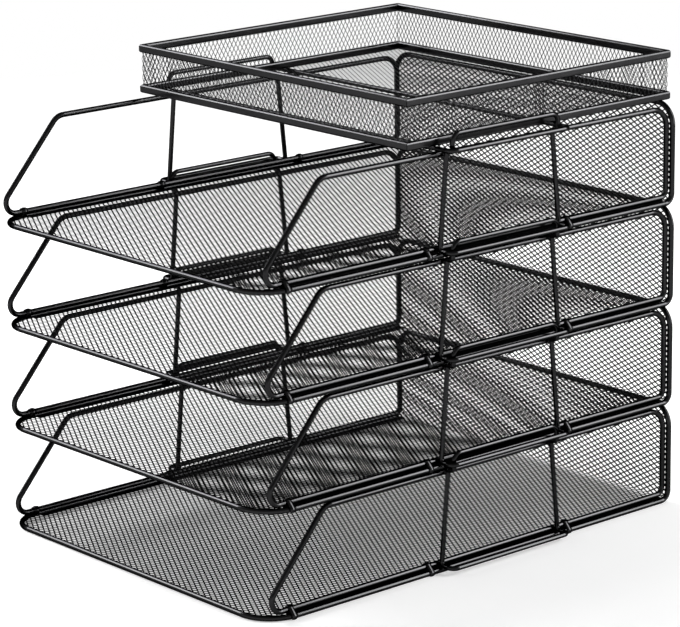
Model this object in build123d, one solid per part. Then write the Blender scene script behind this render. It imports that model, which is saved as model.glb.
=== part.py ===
from build123d import *
import os
from math import atan2, degrees, hypot, sqrt

# Stacking desk organizer: four wire and mesh letter trays and a shallow mesh
# tray on top. Millimetres, +Z up, front towards -Y, origin at the middle of
# the ground under it. Each letter tray is drawn in its own frame, with X = 0 in
# the middle, Y = 0 at the centre of the base wire's front run and Z = 0 at the
# centre of its floor runs, and is then lifted to its level.

# Wires and sheet
base_wire_d = 3.4
frame_wire_d = 3.4
post_wire_d = 3.0
sheet = 0.8
weld_gap = 0.05
running_gap = 0.3

# Letter tray: the base wire goes round the floor and up round the back
tray_width = 250.0
tray_depth = 327.0
tray_pitch = 63.5
tray_count = 4
front_corner_r = 22.0
rear_bend_r = 6.0
back_corner_r = 13.0
back_rail_play = 0.6

# Side frames, just inside the base wire
frame_inset = 3.0
top_rail_drop = 4.8
slant_foot_y = -2.2
slant_run_per_rise = 0.88
nose_r = 7.0
shoulder_r = 10.0
frame_rear_top_r = 12.0
frame_rear_low_r = 5.0
frame_to_back = 0.1

# Post wires: one closed wire a side, with two posts, a foot and a bump
post_middle_y = 181.7
foot_half_span = 47.8
bump_half_span = 42.2
foot_reach = 10.0
bump_reach = 5.0
bump_rise = 7.5
post_foot_bend_r = 2.6
post_top_bend_r = 2.3
foot_corner_r = 4.0
bump_corner_r = 5.0

# Clips that hold each side frame to the base wire
clip_before_corner = 3.0
clip_beyond_foot = 9.0
clip_length = 3.6
clip_wall = 0.5
clip_below_wire_centre = 1.2

# Open diamonds of the mesh
net_strand = 4.0
floor_cell_x = 56.0
floor_cell_y = 43.0
floor_border = 8.0
back_cell_x = 46.0
back_cell_z = 22.0
back_border = 4.0
wall_cell_length = 38.0
wall_cell_z = 16.0
wall_border = 6.0

# Top tray
top_side_gap = 5.5
top_length = 216.0
top_height = 30.5
rim_height = 5.2
rim_wall = 1.0
rim_slot = 1.2
rim_corner_r = 2.0
ring_corner_r = 5.0

# Part of a circle's radius that a chamfer takes to make the octagon round it
octagon_cut = 2 - sqrt(2)

base_r = base_wire_d / 2
frame_r = frame_wire_d / 2
post_r = post_wire_d / 2
base_x = tray_width / 2
mesh_inset = base_r + weld_gap
frame_x = base_x - frame_inset
lower_rail_z = base_r + frame_r
top_rail_z = tray_pitch - top_rail_drop
post_x = frame_x + frame_r + post_r
foot_x = base_x + foot_reach
bump_x = base_x + bump_reach
bump_top_z = tray_pitch + bump_rise
top_width = 2 * (bump_x - post_r - top_side_gap)
rim_width = 2 * rim_wall + rim_slot
back_rail_z = tray_pitch - sheet / 2 - back_rail_play - base_r


def closed_wire(points, radii, diameter):
    """A closed wire: straight runs joined by round bends, one radius a corner."""
    path = FilletPolyline(*points, radius=radii, close=True)
    section = Plane(origin=path @ 0, z_dir=path % 0) * Circle(diameter / 2)
    return sweep(section, path=path.wire())


def net(face, plane, cell_length, cell_width, border):
    """A mesh sheet: one face full of diamond gaps, drawn round the plane's origin."""
    size = face.bounding_box().size
    length = size.X - 2 * border
    width = size.Y - 2 * border
    columns = max(1, int(length // cell_length))
    rows = max(1, int(width // cell_width))
    half_a = length / columns / 2
    half_b = width / rows / 2
    keep = 1 - net_strand / 2 * hypot(half_a, half_b) / (half_a * half_b)
    gaps = []
    for row in range(2 * rows - 1):
        in_row = columns - row % 2
        y = (row + 1 - rows) * half_b
        for column in range(in_row):
            x = (2 * column + 1 - in_row) * half_a
            right = (x + half_a * keep, y)
            far = (x, y + half_b * keep)
            left = (x - half_a * keep, y)
            near = (x, y - half_b * keep)
            gaps.append(Polyline(right, far, left, near, close=True).wire())
    holed = Face(face.face().outer_wire(), gaps)
    return extrude(plane * holed, amount=sheet / 2, both=True)


def base_wire():
    rear = tray_depth
    points = [
        (-base_x, 0, 0),
        (base_x, 0, 0),
        (base_x, rear, 0),
        (base_x, rear, back_rail_z),
        (-base_x, rear, back_rail_z),
        (-base_x, rear, 0),
    ]
    radii = [front_corner_r, front_corner_r, rear_bend_r, back_corner_r, back_corner_r, rear_bend_r]
    return closed_wire(points, radii, base_wire_d)


def floor_mesh():
    front = mesh_inset
    rear = tray_depth - sheet / 2
    face = Rectangle(tray_width - 2 * mesh_inset, rear - front)
    face = fillet(face.vertices().group_by(Axis.Y)[0], front_corner_r - mesh_inset)
    plane = Plane(origin=(0, (front + rear) / 2, 0))
    return net(face, plane, floor_cell_x, floor_cell_y, floor_border)


def back_mesh():
    low = -sheet / 2
    high = back_rail_z - mesh_inset
    face = Rectangle(tray_width - 2 * mesh_inset, high - low)
    face = fillet(face.vertices().group_by(Axis.Y)[-1], back_corner_r - mesh_inset)
    plane = Plane(origin=(0, tray_depth, (low + high) / 2), x_dir=(1, 0, 0), z_dir=(0, -1, 0))
    return net(face, plane, back_cell_x, back_cell_z, back_border)


def side_frame(side):
    """The slanted side frame, a flat closed wire; side is 1 on the right and -1 on the left."""
    x = side * frame_x
    rear = tray_depth - sheet / 2 - frame_to_back - frame_r
    slant_top_y = slant_foot_y + slant_run_per_rise * (top_rail_z - lower_rail_z)
    points = [
        (x, slant_foot_y, lower_rail_z),
        (x, rear, lower_rail_z),
        (x, rear, top_rail_z),
        (x, slant_top_y, top_rail_z),
    ]
    return closed_wire(points, [nose_r, frame_rear_low_r, frame_rear_top_r, shoulder_r], frame_wire_d)


def foot_z():
    """Height of the foot where its bend just clears the base wire it is welded to."""
    reach = post_foot_bend_r + base_r + post_r + weld_gap
    across = post_x + post_foot_bend_r - base_x
    return sqrt(reach**2 - across**2) - post_foot_bend_r


def jog_z():
    """Height of the jog where its bend carries the base wire of the tray above."""
    reach = post_top_bend_r + base_r + post_r + running_gap
    across = post_x + post_top_bend_r - base_x
    return tray_pitch - sqrt(reach**2 - across**2) + post_top_bend_r


def post_wire(side):
    """Foot, two posts, two jogs and the bump, bent from one wire."""
    near = post_middle_y
    foot = foot_z()
    jog = jog_z()
    half = [
        (side * bump_x, bump_half_span, bump_top_z),
        (side * bump_x, bump_half_span, jog),
        (side * post_x, bump_half_span, jog),
        (side * post_x, foot_half_span, foot),
        (side * foot_x, foot_half_span, foot),
    ]
    bends = [bump_corner_r, post_top_bend_r, post_top_bend_r, post_foot_bend_r, foot_corner_r]
    points = [(x, near + y, z) for x, y, z in half]
    points += [(x, near - y, z) for x, y, z in reversed(half)]
    return closed_wire(points, bends + bends[::-1], post_wire_d)


def clip(side, y):
    """A folded strap round the lower rail and the base wire, open under the wire."""
    across = base_x - frame_x
    angle = degrees(atan2(-lower_rail_z, across))
    inner_length = hypot(across, lower_rail_z) + frame_r + base_r + 2 * weld_gap
    inner_width = 2 * max(frame_r, base_r) + 2 * weld_gap
    corner = octagon_cut * min(frame_r, base_r)
    inner = Rectangle(inner_length, inner_width)
    inner = chamfer(inner.vertices(), corner)
    outer = Rectangle(inner_length + 2 * clip_wall, inner_width + 2 * clip_wall)
    outer = chamfer(outer.vertices(), corner + octagon_cut * clip_wall)
    strap = Location(((frame_x + base_x) / 2, lower_rail_z / 2), angle) * (outer - inner)
    cutter = Rectangle(tray_pitch, tray_pitch)
    mesh_top = sheet / 2 + weld_gap
    below = Location((base_x, -clip_below_wire_centre - tray_pitch / 2)) * cutter
    inside = Location((base_x - tray_pitch / 2, mesh_top - tray_pitch / 2)) * cutter
    strap = strap - below - inside
    plane = Plane(origin=(0, y, 0), x_dir=(1, 0, 0), z_dir=(0, -1, 0))
    solid = extrude(plane * strap, amount=clip_length / 2, both=True)
    return solid if side > 0 else mirror(solid, about=Plane.YZ)


def top_plan(inset):
    """The top tray's plan, drawn in from its outer faces."""
    return Rectangle(top_width - 2 * inset, top_length - 2 * inset)


def rim_channel():
    """A sheet rim folded into a channel, with its mouth upwards and its floor at Z = 0."""
    outline = fillet(top_plan(0).vertices(), rim_corner_r)
    ring = extrude(outline - top_plan(rim_width), amount=rim_height)
    slot = extrude(top_plan(rim_wall) - top_plan(rim_wall + rim_slot), amount=rim_height)
    return ring - Location((0, 0, rim_wall)) * slot


def wall_sheet(length, across, direction):
    """One mesh wall, standing in the middle of the two rims' slots."""
    low = rim_wall
    high = top_height - rim_wall
    up = Vector(0, 0, 1)
    middle = direction * across + up * (low + high) / 2
    plane = Plane(origin=middle, x_dir=up.cross(direction), z_dir=direction)
    return net(Rectangle(length, high - low), plane, wall_cell_length, wall_cell_z, wall_border)


def top_tray():
    """The top tray's pieces, with its floor's underside at Z = 0 and its middle at X = Y = 0."""
    slot_middle = rim_wall + rim_slot / 2
    wall_half_x = top_width / 2 - slot_middle
    wall_half_y = top_length / 2 - slot_middle
    long_wall = top_width - 2 * rim_wall
    short_wall = top_length - 2 * slot_middle - sheet
    flip = Location((0, 0, top_height), (1, 0, 0), 180)
    floor_plane = Plane(origin=(0, 0, sheet / 2))
    floor = net(top_plan(rim_width), floor_plane, floor_cell_x, floor_cell_y, floor_border)
    return {
        "bottom_rim": rim_channel(),
        "top_rim": flip * rim_channel(),
        "floor_mesh": floor,
        "front_mesh": wall_sheet(long_wall, wall_half_y, Vector(0, -1, 0)),
        "rear_mesh": wall_sheet(long_wall, wall_half_y, Vector(0, 1, 0)),
        "left_mesh": wall_sheet(short_wall, wall_half_x, Vector(-1, 0, 0)),
        "right_mesh": wall_sheet(short_wall, wall_half_x, Vector(1, 0, 0)),
    }


def foot_ring(height):
    """The top tray's wire foot: two cross wires and two outer feet, bent from one wire."""
    near = post_middle_y - foot_half_span
    far = post_middle_y + foot_half_span
    points = [(-foot_x, near, height), (foot_x, near, height), (foot_x, far, height), (-foot_x, far, height)]
    return closed_wire(points, [ring_corner_r] * 4, post_wire_d)


def letter_tray():
    """The pieces of one letter tray, in its own frame."""
    near_clip = post_middle_y - foot_half_span - clip_beyond_foot
    far_clip = post_middle_y + foot_half_span + clip_beyond_foot
    clip_places = (front_corner_r - clip_before_corner, near_clip, far_clip)
    return {
        "base_wire": base_wire(),
        "floor_mesh": floor_mesh(),
        "back_mesh": back_mesh(),
        "side_frame_left": side_frame(-1),
        "side_frame_right": side_frame(1),
        "post_wires": Compound([post_wire(-1), post_wire(1)]),
        "clips": Compound([clip(side, y) for side in (-1, 1) for y in clip_places]),
    }


os.makedirs("parts", exist_ok=True)

for level in range(tray_count):
    place = Location((0, -tray_depth / 2, base_r + level * tray_pitch))
    for name, piece in letter_tray().items():
        export_step(place * piece, f"parts/tray_{level + 1}_{name}.step")

upper_base = base_r + (tray_count - 1) * tray_pitch
ring_z = top_rail_z + frame_r + running_gap + post_r
ring = Location((0, -tray_depth / 2, upper_base)) * foot_ring(ring_z)
export_step(ring, "parts/top_tray_foot_wire.step")

top_place = Location((0, tray_depth / 2 - top_length / 2, upper_base + ring_z + post_r))
for name, piece in top_tray().items():
    export_step(top_place * piece, f"parts/top_tray_{name}.step")
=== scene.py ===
"""Looks of the wire and mesh desk organizer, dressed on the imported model.

Metres in the model's frame: +Z up, open fronts towards -Y. Lengths are written in millimetres
and multiplied by MM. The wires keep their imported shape; the mesh sheets, rims and clips are
drawn again in finer detail, and beads of weld are added.
"""

import math

import bmesh
import bpy
import numpy as np
from mathutils import Matrix, Vector

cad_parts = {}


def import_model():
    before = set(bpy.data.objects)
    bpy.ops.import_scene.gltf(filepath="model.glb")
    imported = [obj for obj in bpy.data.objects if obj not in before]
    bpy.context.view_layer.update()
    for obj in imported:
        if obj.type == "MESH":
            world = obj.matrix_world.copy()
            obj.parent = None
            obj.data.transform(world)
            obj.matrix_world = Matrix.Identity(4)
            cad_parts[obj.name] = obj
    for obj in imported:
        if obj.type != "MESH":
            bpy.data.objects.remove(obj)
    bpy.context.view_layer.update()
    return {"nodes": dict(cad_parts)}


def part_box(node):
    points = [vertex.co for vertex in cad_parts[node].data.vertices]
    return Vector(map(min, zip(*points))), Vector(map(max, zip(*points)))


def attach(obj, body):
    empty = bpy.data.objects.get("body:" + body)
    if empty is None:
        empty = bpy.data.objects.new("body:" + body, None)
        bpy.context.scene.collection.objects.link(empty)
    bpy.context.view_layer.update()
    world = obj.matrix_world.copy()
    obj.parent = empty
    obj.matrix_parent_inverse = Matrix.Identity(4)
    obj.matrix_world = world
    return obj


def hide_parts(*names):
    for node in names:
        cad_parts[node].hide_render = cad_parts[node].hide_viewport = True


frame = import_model()

MM = 0.001
trays = ["tray_1", "tray_2", "tray_3", "tray_4"]

# Expanded mesh: the long and short way of one diamond, then width, thickness and twist of a strand
mesh_long = 5.8 * MM
mesh_short = 3.35 * MM
letter_strand = (0.8 * MM, 0.3 * MM, 0.12 * MM)
top_strand = (0.36 * MM, 0.22 * MM, 0.08 * MM)
smallest_face = (0.05 * MM) ** 2

# Letter trays
base_wire_r = 1.7 * MM
front_corner_r = 22 * MM
back_corner_r = 13 * MM
hem_width = 7.5 * MM
hem_thickness = 0.6 * MM

# Clips round the lower rail, which stands inwards of and above the base wire
frame_inset = 3 * MM
rail_rise = 3.4 * MM
clip_wall = 0.5 * MM
clip_length = 3.6 * MM
clip_crown = 0.35 * MM
clip_clearance = 0.05 * MM
clip_foot = 1.9 * MM
clip_places = [-144.5 * MM, -38.6 * MM, 75.0 * MM]

# Welds where a post crosses the upper rail and where its foot lies on the base wire: their
# distance from the middle of the posts, their place in X and Z, and half the size of a bead
post_middle_y = 18.2 * MM
upper_weld_span = 42.4 * MM
upper_weld = (123.7 * MM, 58.7 * MM)
upper_bead = (0.8 * MM, 1.5 * MM, 1.5 * MM)
foot_weld_span = 47.7 * MM
foot_weld = (125.8 * MM, 1.5 * MM)
foot_bead = (1.3 * MM, 1.5 * MM, 0.8 * MM)

# Top tray
rim_width = 3.2 * MM
rim_bevel = 1.4 * MM
rim_seam = 0.5 * MM
rim_seam_depth = 0.5 * MM
lap_seam_y = 53.5 * MM
lap_length = 9 * MM
lap_step = 0.38 * MM

# Coat: share of light mirrored face on, and at grazing angles compared with bare metal
wire_shade = 0.028
mesh_shade = 0.03
rim_shade = 0.036
edge_shade = 0.15

# Coat: roughness and how far it varies, the scale of its patches and orange peel, and its relief
wire_gloss = (0.16, 0.03)
mesh_gloss = (0.36, 0.05)
rim_gloss = (0.2, 0.03)
patch_scale = 60
wire_grain = 1500
mesh_grain = 1200
rim_grain = 1800
coat_relief = 0.2
coat_relief_depth = 0.05 * MM

# Studio
centre = Vector((0, 0, 140)) * MM
lamp_distance = 2.5
world_level = 0.25
ceiling_level = 0.2
floor_colour = 0.8
floor_glow = 0.4


def new_object(name, mesh, body, replaced=()):
    """Puts a mesh in the scene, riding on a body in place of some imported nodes."""
    piece = bpy.data.objects.new(name, mesh)
    bpy.context.scene.collection.objects.link(piece)
    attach(piece, body)
    if replaced:
        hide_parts(*replaced)
    return piece


def join(name, meshes):
    """One mesh made of several."""
    points = []
    faces = []
    smooth = []
    for mesh in meshes:
        start = len(points)
        points += [tuple(v.co) for v in mesh.vertices]
        faces += [tuple(start + v for v in p.vertices) for p in mesh.polygons]
        smooth += [p.use_smooth for p in mesh.polygons]
        bpy.data.meshes.remove(mesh)
    joined = bpy.data.meshes.new(name)
    joined.from_pydata(points, [], faces)
    joined.polygons.foreach_set("use_smooth", smooth)
    joined.update()
    return joined


# Materials


def empty_tree(holder):
    holder.use_nodes = True
    holder.node_tree.nodes.clear()
    return holder.node_tree


def noise(tree, place, scale, detail):
    """A noise texture on the object's own coordinates."""
    texture = tree.nodes.new("ShaderNodeTexNoise")
    texture.inputs["Scale"].default_value = scale
    texture.inputs["Detail"].default_value = detail
    tree.links.new(place.outputs["Object"], texture.inputs["Vector"])
    return texture.outputs["Fac"]


def map_range(tree, value, from_range, to_range):
    """Maps a value from one range to another; either end of the second may be a socket."""
    node = tree.nodes.new("ShaderNodeMapRange")
    tree.links.new(value, node.inputs["Value"])
    node.inputs["From Min"].default_value = from_range[0]
    node.inputs["From Max"].default_value = from_range[1]
    for socket, end in zip((node.inputs["To Min"], node.inputs["To Max"]), to_range):
        if isinstance(end, (int, float)):
            socket.default_value = end
        else:
            tree.links.new(end, socket)
    return node.outputs["Result"]


def powder_coat(name, shade, gloss, grain):
    """Black powder coat: dark patches, slightly uneven gloss and a fine orange peel.

    It mirrors a few per cent of the light and scatters none, so it stays black between
    the highlights and at its edges.
    """
    patch_range = (0.3, 0.7)
    patch_contrast = 0.15
    blue_tint = 0.03
    roughness, uneven = gloss
    material = bpy.data.materials.new(name)
    tree = empty_tree(material)
    output = tree.nodes.new("ShaderNodeOutputMaterial")
    shader = tree.nodes.new("ShaderNodeBsdfPrincipled")
    shader.inputs["Metallic"].default_value = 1
    shader.inputs["Specular Tint"].default_value = (edge_shade, edge_shade, edge_shade, 1)
    place = tree.nodes.new("ShaderNodeTexCoord")
    patches = noise(tree, place, patch_scale, detail=3)
    varied = map_range(tree, patches, patch_range, (roughness - uneven, roughness + uneven))
    tree.links.new(varied, shader.inputs["Roughness"])
    colour = tree.nodes.new("ShaderNodeMix")
    colour.data_type = "RGBA"
    for socket, level in (("A", 1 - patch_contrast), ("B", 1 + patch_contrast)):
        grey = shade * level
        colour.inputs[socket].default_value = (grey, grey, shade * (level + blue_tint), 1)
    tree.links.new(patches, colour.inputs["Factor"])
    tree.links.new(colour.outputs["Result"], shader.inputs["Base Color"])
    bump = tree.nodes.new("ShaderNodeBump")
    bump.inputs["Strength"].default_value = coat_relief
    bump.inputs["Distance"].default_value = coat_relief_depth
    tree.links.new(noise(tree, place, grain, detail=2), bump.inputs["Height"])
    tree.links.new(bump.outputs["Normal"], shader.inputs["Normal"])
    tree.links.new(shader.outputs["BSDF"], output.inputs["Surface"])
    return material


wire_coat = powder_coat("wire_coat", wire_shade, wire_gloss, wire_grain)
mesh_coat = powder_coat("mesh_coat", mesh_shade, mesh_gloss, mesh_grain)
rim_coat = powder_coat("rim_coat", rim_shade, rim_gloss, rim_grain)


# Expanded mesh


def pull_into_outline(flat, low, high, low_r, high_r):
    """Moves points that lie outside a rectangle with rounded corners onto its edge."""
    x = np.clip(flat[:, 0], low[0], high[0])
    y = np.clip(flat[:, 1], low[1], high[1])
    corners = [(low_r, low[1] + low_r, -1), (high_r, high[1] - high_r, 1)]
    for radius, centre_y, up in corners:
        for side in (-1, 1):
            centre_x = (low[0] + radius) if side < 0 else (high[0] - radius)
            dx = x - centre_x
            dy = y - centre_y
            away = np.hypot(dx, dy)
            outside = (dx * side > 0) & (dy * up > 0) & (away > radius)
            scale = radius / np.where(outside, away, 1)
            x = np.where(outside, centre_x + dx * scale, x)
            y = np.where(outside, centre_y + dy * scale, y)
    return np.stack([x, y], 1)


def diamond_layer(name, low, high, cell_x, cell_y, strand, low_r, high_r):
    """One layer of expanded mesh between two corners in the XY plane.

    Each gap gives four points. A strand is one face between two neighbouring gaps, and a
    crossing is one face between four. Points beyond the outline are pulled onto it, and
    faces that this leaves without an area are dropped. Strands rise and fall by their twist
    across the short way of the diamonds.
    """
    half_x = cell_x / 2
    half_y = cell_y / 2
    width, _, rise = strand
    keep = 1 - width / 2 * math.hypot(half_x, half_y) / (half_x * half_y)
    middle = ((low[0] + high[0]) / 2, (low[1] + high[1]) / 2)
    columns = int((high[0] - low[0]) / cell_x) + 2
    rows = int((high[1] - low[1]) / cell_y) + 2
    gaps = []
    for i in range(-columns, columns + 1):
        gaps += [(i, j) for j in range(-rows, rows + 1) if (i + j) % 2 == 0]
    first_point = {gap: 4 * n for n, gap in enumerate(gaps)}
    corners = np.array([(keep, 0), (0, keep), (-keep, 0), (0, -keep)])
    right, top, left, bottom = range(4)
    flat = (np.array(gaps, float)[:, None, :] + corners).reshape(-1, 2) * (half_x, half_y) + middle
    twist = [0, rise, 0, -rise] if cell_x > cell_y else [rise, 0, -rise, 0]
    faces = []
    for i, j in gaps:
        here = first_point[i, j]
        upper_right = first_point.get((i + 1, j + 1))
        upper_left = first_point.get((i - 1, j + 1))
        lower_right = first_point.get((i + 1, j - 1))
        next_right = first_point.get((i + 2, j))
        if upper_right is not None:
            faces.append((here + right, upper_right + bottom, upper_right + left, here + top))
        if upper_left is not None:
            faces.append((here + left, here + top, upper_left + right, upper_left + bottom))
        if None not in (upper_right, lower_right, next_right):
            faces.append((here + right, lower_right + top, next_right + left, upper_right + bottom))
    flat = pull_into_outline(flat, low, high, low_r, high_r)
    points = np.column_stack([flat, np.tile(twist, len(gaps))])
    faces = np.array(faces)
    a, b, c, d = (flat[faces[:, k]] for k in range(4))
    area = np.abs((c - a)[:, 0] * (d - b)[:, 1] - (c - a)[:, 1] * (d - b)[:, 0]) / 2
    faces = faces[area > smallest_face]
    used = np.unique(faces)
    place = np.zeros(len(points), int)
    place[used] = np.arange(len(used))
    mesh = bpy.data.meshes.new(name)
    mesh.from_pydata(points[used].tolist(), [], place[faces].tolist())
    mesh.update()
    return mesh


def drop_islands(mesh):
    """Keeps the largest connected part of a mesh: at round corners some faces stand alone."""
    work = bmesh.new()
    work.from_mesh(mesh)
    unseen = set(work.faces)
    parts = []
    while unseen:
        front = [unseen.pop()]
        part = []
        while front:
            face = front.pop()
            part.append(face)
            beside = {other for edge in face.edges for other in edge.link_faces if other in unseen}
            unseen -= beside
            front.extend(beside)
        parts.append(part)
    parts.sort(key=len)
    for part in parts[:-1]:
        bmesh.ops.delete(work, geom=part, context="FACES")
    work.to_mesh(mesh)
    work.free()


def thicken(layer, thickness):
    """Gives a one-layer mesh its thickness, half to each side."""
    carrier = bpy.data.objects.new("thicken", layer)
    bpy.context.scene.collection.objects.link(carrier)
    solidify = carrier.modifiers.new("solidify", "SOLIDIFY")
    solidify.thickness = thickness
    solidify.offset = 0
    solidify.use_even_offset = False
    bpy.context.view_layer.update()
    evaluated = carrier.evaluated_get(bpy.context.evaluated_depsgraph_get())
    solid = bpy.data.meshes.new_from_object(evaluated)
    solid.name = layer.name
    bpy.data.objects.remove(carrier)
    bpy.data.meshes.remove(layer)
    return solid


def expanded_mesh(name, low, high, cell_x, cell_y, strand, low_r=0, high_r=0):
    layer = diamond_layer(name, low, high, cell_x, cell_y, strand, low_r, high_r)
    drop_islands(layer)
    sheet = thicken(layer, strand[1])
    sheet.materials.append(mesh_coat)
    return sheet


# Letter trays


def hem(left, right, front, rear):
    """The floor sheet's edge folded over flat along a side: a solid strip beside the base wire."""
    half = hem_thickness / 2
    points = [(x, y, z) for x in (left, right) for y in (front, rear) for z in (-half, half)]
    faces = [(0, 1, 3, 2), (4, 6, 7, 5), (0, 4, 5, 1), (2, 3, 7, 6), (0, 2, 6, 4), (1, 5, 7, 3)]
    mesh = bpy.data.meshes.new("hem")
    mesh.from_pydata(points, [], faces)
    mesh.update()
    return mesh


def letter_tray_sheets():
    """Floor and back of every letter tray, and the hems along the floor's sides.

    The mesh ends on the base wire's centre line.
    """
    low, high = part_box("tray_1_base_wire")
    side = high.x - base_wire_r
    front = low.y + base_wire_r
    rear = high.y - base_wire_r
    back_height = high.z - low.z - 2 * base_wire_r
    diamond = (mesh_long, mesh_short, letter_strand)
    sheet = expanded_mesh("sheet", (-side, front), (side, rear), *diamond, low_r=front_corner_r)
    hem_ends = (front + front_corner_r, rear - base_wire_r)
    left_hem = hem(-side, hem_width - side, *hem_ends)
    right_hem = hem(side - hem_width, side, *hem_ends)
    floor = join("floor", [sheet, left_hem, right_hem])
    floor.materials.append(mesh_coat)
    back = expanded_mesh("back", (-side, 0), (side, back_height), *diamond, high_r=back_corner_r)
    back.transform(Matrix.Translation((0, rear, 0)) @ Matrix.Rotation(math.radians(90), 4, "X"))
    for tray in trays:
        for part, sheet in (("floor_mesh", floor), ("back_mesh", back)):
            placed = sheet.copy()
            placed.transform(Matrix.Translation((0, 0, floor_level(tray))))
            new_object(f"{tray}_fine_{part}", placed, tray, [f"{tray}_{part}"])


def floor_level(tray):
    """Height of a letter tray's base wire centre."""
    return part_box(f"{tray}_base_wire")[0].z + base_wire_r


def strap_path():
    """Middle line of a clip's strap in X and Z: over the lower rail and round the base wire.

    It stops short of the point where the lowest tray's clips would touch the ground.
    """
    rail_steps = 12
    base_steps = 6
    base_turn = 80.4
    base = Vector((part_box("tray_1_base_wire")[1].x - base_wire_r, 0))
    rail = base + Vector((-frame_inset, rail_rise))
    radius = base_wire_r + clip_wall / 2 + clip_clearance
    along = (base - rail).normalized()
    outward = Vector((-along.y, along.x))
    start = math.atan2(outward.y, outward.x)
    points = [rail - outward * radius + along * clip_foot]
    for k in range(rail_steps + 1):
        angle = start + math.radians(180 * (1 - k / rail_steps))
        points.append(rail + radius * Vector((math.cos(angle), math.sin(angle))))
    for k in range(base_steps + 1):
        angle = start - math.radians(base_turn * k / base_steps)
        points.append(base + radius * Vector((math.cos(angle), math.sin(angle))))
    return points


def clip():
    """One folded strap, its length along Y and its outer side crowned like a stamping."""
    crown_steps = 8
    half_wall = clip_wall / 2
    half_length = clip_length / 2
    section = [(-half_wall, -half_length)]
    for k in range(crown_steps + 1):
        along = 2 * k / crown_steps - 1
        section.append((half_wall + clip_crown * (1 - along**2), along * half_length))
    section.append((-half_wall, half_length))
    path = strap_path()
    count = len(section)
    points = []
    for k, spot in enumerate(path):
        step = (path[min(k + 1, len(path) - 1)] - path[max(k - 1, 0)]).normalized()
        outward = Vector((-step.y, step.x))
        for thick, y in section:
            at = spot + outward * thick
            points.append((at.x, y, at.y))
    last = len(points) - count
    faces = [tuple(range(count)), tuple(range(last + count - 1, last - 1, -1))]
    smooth = [False, False]
    for ring in range(0, last, count):
        for k in range(count):
            after = (k + 1) % count
            faces.append((ring + after, ring + k, ring + count + k, ring + count + after))
            smooth.append(1 <= k <= crown_steps)
    mesh = bpy.data.meshes.new("clip")
    mesh.from_pydata(points, [], faces)
    mesh.polygons.foreach_set("use_smooth", smooth)
    mesh.update()
    return mesh


def clips_and_welds():
    """Six clips and eight welds on every letter tray."""
    for tray in trays:
        level = floor_level(tray)
        clips = []
        welds = []
        for side in (-1, 1):
            mirror = Matrix.Scale(side, 4, (1, 0, 0))
            for y in clip_places:
                piece = clip()
                piece.transform(Matrix.Translation((0, y, level)) @ mirror)
                if side < 0:
                    piece.flip_normals()
                clips.append(piece)
            for way in (-1, 1):
                upper_y = post_middle_y + way * upper_weld_span
                lower_y = post_middle_y + way * foot_weld_span
                upper = (side * upper_weld[0], upper_y, level + upper_weld[1])
                lower = (side * foot_weld[0], lower_y, level + foot_weld[1])
                welds.append(weld(upper, upper_bead))
                welds.append(weld(lower, foot_bead))
        clip_mesh = join(f"{tray}_straps", clips)
        clip_mesh.materials.append(wire_coat)
        new_object(f"{tray}_straps", clip_mesh, tray, [f"{tray}_clips"])
        weld_mesh = join(f"{tray}_welds", welds)
        weld_mesh.materials.append(wire_coat)
        new_object(f"{tray}_welds", weld_mesh, tray)


def weld(place, half_size):
    """A small round bead of weld."""
    rings = 8
    around = 12
    points = [(0, 0, 1)]
    for k in range(1, rings):
        tilt = math.pi * k / rings
        for n in range(around):
            turn = 2 * math.pi * n / around
            ring_r = math.sin(tilt)
            points.append((ring_r * math.cos(turn), ring_r * math.sin(turn), math.cos(tilt)))
    points.append((0, 0, -1))
    last = len(points) - 1
    faces = []
    for n in range(around):
        after = (n + 1) % around
        faces.append((0, 1 + n, 1 + after))
        faces.append((last, last - around + after, last - around + n))
        for k in range(rings - 2):
            ring = 1 + k * around
            faces.append((ring + n, ring + around + n, ring + around + after, ring + after))
    placed = [tuple(c * s + p for c, s, p in zip(point, half_size, place)) for point in points]
    mesh = bpy.data.meshes.new("weld")
    mesh.from_pydata(placed, [], faces)
    mesh.polygons.foreach_set("use_smooth", [True] * len(faces))
    mesh.update()
    return mesh


# Top tray


def rim_profile(height, inset):
    """The rim's rounded section in Y and Z, drawn in from its faces by the inset."""
    corner_steps = 12
    near = rim_bevel
    far_y = rim_width - rim_bevel
    far_z = height - rim_bevel
    radius = rim_bevel - inset
    profile = []
    corners = ((near, near, 180), (far_y, near, 270), (far_y, far_z, 0), (near, far_z, 90))
    for y, z, start in corners:
        for k in range(corner_steps + 1):
            angle = math.radians(start + 90 * k / corner_steps)
            profile.append((y + radius * math.cos(angle), z + radius * math.sin(angle)))
    return profile


def rim_bar(length, height):
    """A folded rim along X, its outer side at Y = 0, with mitred ends stepped in for the seam.

    It stays flat shaded, because its ends would tilt smooth shading all along the bar.
    """
    full = rim_profile(height, 0)
    stepped = rim_profile(height, rim_seam_depth)
    back = rim_seam / 2
    rings = [(-1, stepped, 0), (-1, full, back), (1, full, back), (1, stepped, 0)]
    points = []
    for side, profile, shorter in rings:
        points += [(side * (length / 2 - y - shorter), y, z) for y, z in profile]
    count = len(full)
    last = len(points) - count
    faces = [tuple(range(count - 1, -1, -1)), tuple(range(last, last + count))]
    for ring in range(0, last, count):
        for k in range(count):
            after = (k + 1) % count
            faces.append((ring + k, ring + after, ring + count + after, ring + count + k))
    mesh = bpy.data.meshes.new("rim_bar")
    mesh.from_pydata(points, [], faces)
    mesh.update()
    return mesh


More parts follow.
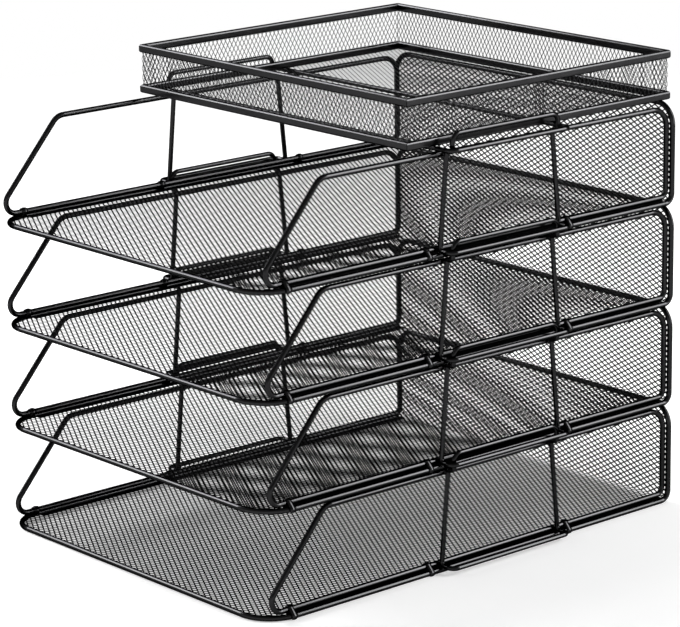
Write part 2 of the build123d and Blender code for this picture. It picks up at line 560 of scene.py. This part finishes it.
def rim(name, node):
    """A rim of four mitred bars with a seam at each corner."""
    low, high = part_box(node)
    size = high - low
    middle = ((low.x + high.x) / 2, (low.y + high.y) / 2)
    bars = []
    for turn in range(4):
        length, across = (size.x, size.y) if turn % 2 == 0 else (size.y, size.x)
        bar = rim_bar(length, size.z)
        bar.transform(Matrix.Translation((0, -across / 2, 0)))
        bar.transform(Matrix.Rotation(math.radians(90 * turn), 4, "Z"))
        bar.transform(Matrix.Translation((*middle, low.z)))
        bars.append(bar)
    mesh = join(name, bars)
    mesh.materials.append(rim_coat)
    new_object(name, mesh, "top_tray", [node])


def upright_sheet(name, middle, length, low_z, high_z, turn):
    """A mesh wall with upright diamonds, standing along X, or along Y after a quarter turn."""
    corners = ((-length / 2, 0), (length / 2, high_z - low_z))
    sheet = expanded_mesh(name, *corners, mesh_short, mesh_long, top_strand)
    upright = Matrix.Rotation(math.radians(90), 4, "X")
    turned = Matrix.Rotation(math.radians(turn), 4, "Z")
    sheet.transform(Matrix.Translation((middle[0], middle[1], low_z)) @ turned @ upright)
    return sheet


def top_tray_sheets():
    """Floor and walls of the top tray; the wall's strip overlaps itself on the right side."""
    low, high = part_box("top_tray_floor_mesh")
    corners = ((low.x, low.y), (high.x, high.y))
    floor = expanded_mesh("top_floor", *corners, mesh_long, mesh_short, top_strand)
    floor.transform(Matrix.Translation((0, 0, (low.z + high.z) / 2)))
    new_object("top_fine_floor_mesh", floor, "top_tray", ["top_tray_floor_mesh"])
    for wall in ("front", "rear", "left", "right"):
        node = f"top_tray_{wall}_mesh"
        low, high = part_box(node)
        middle = (low + high) / 2
        length = max(high.x - low.x, high.y - low.y)
        turn = 90 if wall in ("left", "right") else 0
        sheets = [upright_sheet(f"top_{wall}", middle, length, low.z, high.z, turn)]
        if wall == "right":
            over = (middle.x + lap_step, lap_seam_y)
            sheets.append(upright_sheet("lap", over, lap_length, low.z, high.z, turn))
        mesh = join(f"top_{wall}", sheets)
        mesh.materials.append(mesh_coat)
        new_object(f"top_fine_{wall}_mesh", mesh, "top_tray", [node])


def coat_packed_wires():
    """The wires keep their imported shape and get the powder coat."""
    for node in frame["nodes"].values():
        if not node.hide_render:
            node.data.materials.clear()
            node.data.materials.append(wire_coat)


# Studio


def camera():
    """The photograph's camera, 680 by 627 pixels, solved from the organizer's straight wires."""
    image_width = 680
    focal_px = 3239.3
    azimuth = math.radians(49.075)
    elevation = math.radians(14.976)
    roll = math.radians(-0.801)
    distance = 2014.7 * MM
    level = math.cos(elevation)
    forward = Vector((-math.sin(azimuth) * level, math.cos(azimuth) * level, -math.sin(elevation)))
    level_right = Vector((math.cos(azimuth), math.sin(azimuth), 0))
    level_up = level_right.cross(forward)
    right = level_right * math.cos(roll) + level_up * math.sin(roll)
    up = level_up * math.cos(roll) - level_right * math.sin(roll)
    solved_origin = Vector((0, -3.5, 1.7)) * MM
    beside_origin = 2.78 * MM
    above_origin = 122.77 * MM
    looked_at = solved_origin + right * beside_origin + up * above_origin
    data = bpy.data.cameras.new("camera")
    data.sensor_fit = "HORIZONTAL"
    data.sensor_width = 36
    data.lens = data.sensor_width * focal_px / image_width
    data.clip_start = 0.05
    data.clip_end = 50
    piece = bpy.data.objects.new("camera", data)
    axes = Matrix((right, up, -forward)).transposed().to_4x4()
    piece.matrix_world = Matrix.Translation(looked_at - forward * distance) @ axes
    bpy.context.scene.collection.objects.link(piece)
    bpy.context.scene.camera = piece


def softbox(name, facing, along, length, width, radiance):
    """A soft lamp of an even radiance that faces the object, its length along one axis."""
    data = bpy.data.lights.new(name, "AREA")
    data.shape = "RECTANGLE"
    data.size = length
    data.size_y = width
    data.energy = math.pi * length * width * radiance
    axes = Matrix((along, facing.cross(along), facing)).transposed().to_4x4()
    lamp = bpy.data.objects.new(name, data)
    lamp.matrix_world = Matrix.Translation(centre + facing * lamp_distance) @ axes
    lamp.visible_camera = False
    bpy.context.scene.collection.objects.link(lamp)


def softbox_row(name, axis, lean, start, end, width, radiance):
    """Softboxes side by side on an arc round a wire's axis, where that wire mirrors them.

    The arc leans towards the axis, and runs between two angles of elevation about it.
    """
    count = 3
    round_axis = math.sqrt(1 - lean**2)
    up = Vector((0, 0, 1))
    level = up.cross(axis)
    step = math.radians(end - start) / count
    for k in range(count):
        angle = math.radians(start) + (k + 0.5) * step
        facing = axis * lean + (level * math.cos(angle) + up * math.sin(angle)) * round_axis
        along = up * math.cos(angle) - level * math.sin(angle)
        length = lamp_distance * round_axis * step
        across = lamp_distance * math.radians(width)
        softbox(f"{name}_{k + 1}", facing, along, length, across, radiance)


def seen_directly(tree, rays):
    """One for rays from the camera and through glass."""
    either = tree.nodes.new("ShaderNodeMath")
    either.operation = "MAXIMUM"
    tree.links.new(rays.outputs["Is Camera Ray"], either.inputs[0])
    tree.links.new(rays.outputs["Is Transmission Ray"], either.inputs[1])
    return either.outputs[0]


def world():
    """White where it is seen; mirrored, it darkens from the white horizon to a dim ceiling."""
    horizon_z = 0.05
    ceiling_z = 0.5
    surroundings = bpy.data.worlds.new("world")
    bpy.context.scene.world = surroundings
    tree = empty_tree(surroundings)
    output = tree.nodes.new("ShaderNodeOutputWorld")
    background = tree.nodes.new("ShaderNodeBackground")
    background.inputs["Color"].default_value = (1, 1, 1, 1)
    rays = tree.nodes.new("ShaderNodeLightPath")
    direction = tree.nodes.new("ShaderNodeTexCoord")
    split = tree.nodes.new("ShaderNodeSeparateXYZ")
    tree.links.new(direction.outputs["Generated"], split.inputs["Vector"])
    mirrored = map_range(tree, split.outputs["Z"], (horizon_z, ceiling_z), (1.0, ceiling_level))
    unseen = map_range(tree, rays.outputs["Is Glossy Ray"], (0, 1), (world_level, mirrored))
    strength = map_range(tree, seen_directly(tree, rays), (0, 1), (unseen, 1.0))
    tree.links.new(strength, background.inputs["Strength"])
    tree.links.new(background.outputs["Background"], output.inputs["Surface"])


def floor():
    """A pale floor that holds the object's soft shadow and runs out into a white backdrop."""
    reach = 8.0
    shadow_reach = 0.6
    backdrop_from = 1.5
    mesh = bpy.data.meshes.new("floor")
    corners = [(-reach, -reach, 0), (reach, -reach, 0), (reach, reach, 0), (-reach, reach, 0)]
    mesh.from_pydata(corners, [], [(0, 1, 2, 3)])
    mesh.update()
    material = bpy.data.materials.new("floor")
    tree = empty_tree(material)
    output = tree.nodes.new("ShaderNodeOutputMaterial")
    rays = tree.nodes.new("ShaderNodeLightPath")
    place = tree.nodes.new("ShaderNodeTexCoord")
    away = tree.nodes.new("ShaderNodeVectorMath")
    away.operation = "LENGTH"
    tree.links.new(place.outputs["Object"], away.inputs[0])
    diffuse = tree.nodes.new("ShaderNodeBsdfDiffuse")
    diffuse.inputs["Color"].default_value = (floor_colour, floor_colour, floor_colour, 1)
    glow = tree.nodes.new("ShaderNodeEmission")
    seen_glow = map_range(tree, seen_directly(tree, rays), (0, 1), (0, floor_glow))
    tree.links.new(seen_glow, glow.inputs["Strength"])
    near = tree.nodes.new("ShaderNodeAddShader")
    tree.links.new(diffuse.outputs["BSDF"], near.inputs[0])
    tree.links.new(glow.outputs["Emission"], near.inputs[1])
    backdrop = tree.nodes.new("ShaderNodeEmission")
    backdrop.inputs["Color"].default_value = (1, 1, 1, 1)
    mirrored = map_range(tree, rays.outputs["Is Glossy Ray"], (0, 1), (world_level, 1.0))
    strength = map_range(tree, seen_directly(tree, rays), (0, 1), (mirrored, 1.0))
    tree.links.new(strength, backdrop.inputs["Strength"])
    blend = tree.nodes.new("ShaderNodeMixShader")
    far = map_range(tree, away.outputs["Value"], (shadow_reach, backdrop_from), (0, 1))
    tree.links.new(far, blend.inputs["Fac"])
    tree.links.new(near.outputs["Shader"], blend.inputs[1])
    tree.links.new(backdrop.outputs["Emission"], blend.inputs[2])
    tree.links.new(blend.outputs["Shader"], output.inputs["Surface"])
    mesh.materials.append(material)
    piece = bpy.data.objects.new("floor", mesh)
    bpy.context.scene.collection.objects.link(piece)


letter_tray_sheets()
clips_and_welds()
top_tray_sheets()
rim("top_rim", "top_tray_top_rim")
rim("bottom_rim", "top_tray_bottom_rim")
coat_packed_wires()
camera()
world()
floor()
softbox_row("left_box", Vector((-1, 0, 0)), lean=0.755, start=32, end=116, width=11, radiance=24)
softbox_row("right_box", Vector((0, 1, 0)), lean=0.645, start=118, end=180, width=14, radiance=14)
bpy.context.scene.view_settings.view_transform = "Standard"
